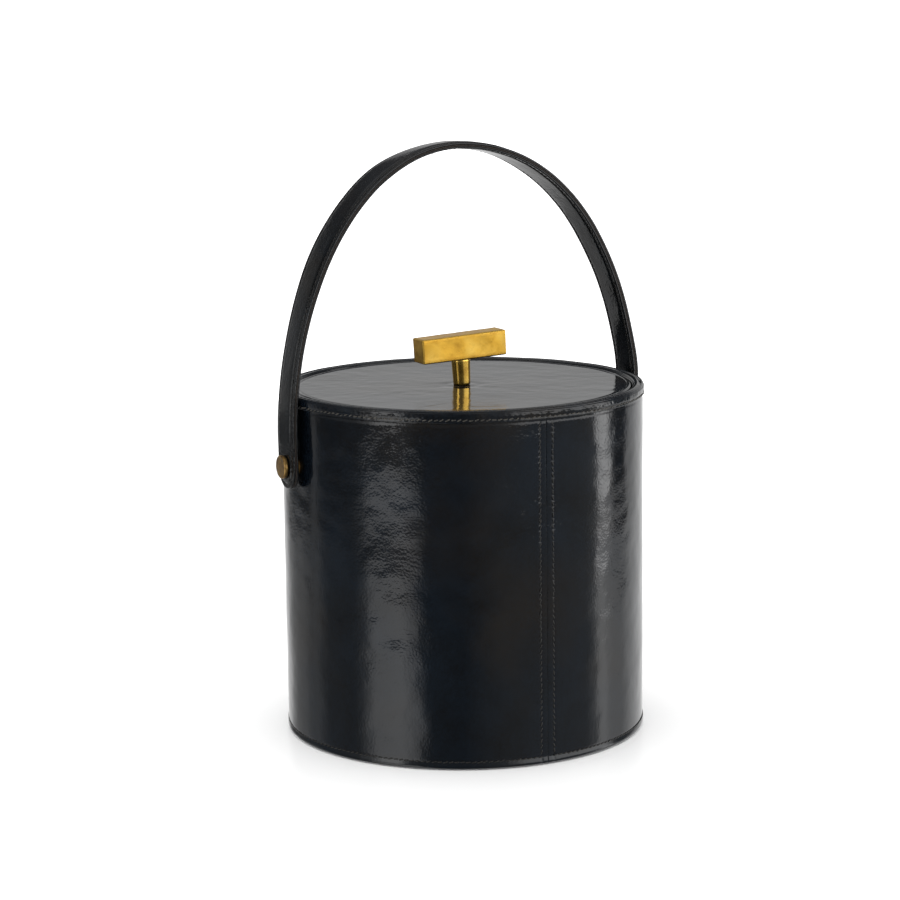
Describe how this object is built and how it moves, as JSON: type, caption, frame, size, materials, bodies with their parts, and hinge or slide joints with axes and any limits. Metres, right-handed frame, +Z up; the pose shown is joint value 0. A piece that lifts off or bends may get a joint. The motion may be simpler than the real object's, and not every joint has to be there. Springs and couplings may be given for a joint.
{
  "type": "ice bucket",
  "caption": "Leather-clad insulated ice bucket with a steel liner, an inset lid with a bar knob, and a padded strap handle that swings on side studs.",
  "frame": {"origin": "centre of the base's underside, on the table", "axes": "+Z up, X along the handle's pivot axis, the front seam faces -Y"},
  "size_m": [0.2086, 0.1914, 0.3108],
  "materials": {
    "black_leather": "gloss",
    "rim_leather": "gloss",
    "strap_leather": "satin",
    "pad_leather": "matte",
    "board": "matte",
    "felt": "matte",
    "stainless": "satin",
    "zinc_steel": "satin",
    "brass": "satin",
    "antique_brass": "satin"
  },
  "bodies": {
    "bucket": {"leather_panel_left": "black_leather", "leather_panel_right": "black_leather", "body_shell": "board", "base_board": "board", "base_pad": "pad_leather", "rim_binding": "rim_leather", "liner": "stainless", "insulation_sleeve": "felt", "insulation_disc": "felt", "pivot_stud_left": "antique_brass", "pivot_stud_right": "antique_brass", "pivot_spacer_left": "antique_brass", "pivot_spacer_right": "antique_brass", "pivot_washer_left": "zinc_steel", "pivot_washer_right": "zinc_steel", "pivot_nut_left": "zinc_steel", "pivot_nut_right": "zinc_steel"},
    "handle": {"handle_outer_leather": "strap_leather", "handle_inner_leather": "strap_leather", "handle_core": "board", "handle_padding_outer": "felt", "handle_padding_inner": "felt"},
    "lid": {"lid_board": "board", "lid_top_leather": "black_leather", "lid_edge_band": "rim_leather", "lid_seal_ring": "felt", "lid_pan": "stainless", "lid_insulation": "felt", "knob_stem": "brass", "knob_bar": "brass", "knob_screw": "zinc_steel", "knob_washer": "zinc_steel"}
  },
  "joints": [
    {"name": "handle_swing", "type": "hinge", "parent": "bucket", "child": "handle", "pos_m": [0, 0, 0.1476], "axis": [1, 0, 0], "range_deg": [-136, 140]},
    {"name": "lid_lift", "type": "slide", "parent": "bucket", "child": "lid", "axis": [0, 0, 1], "range_m": [0, 0.03]}
  ]
}
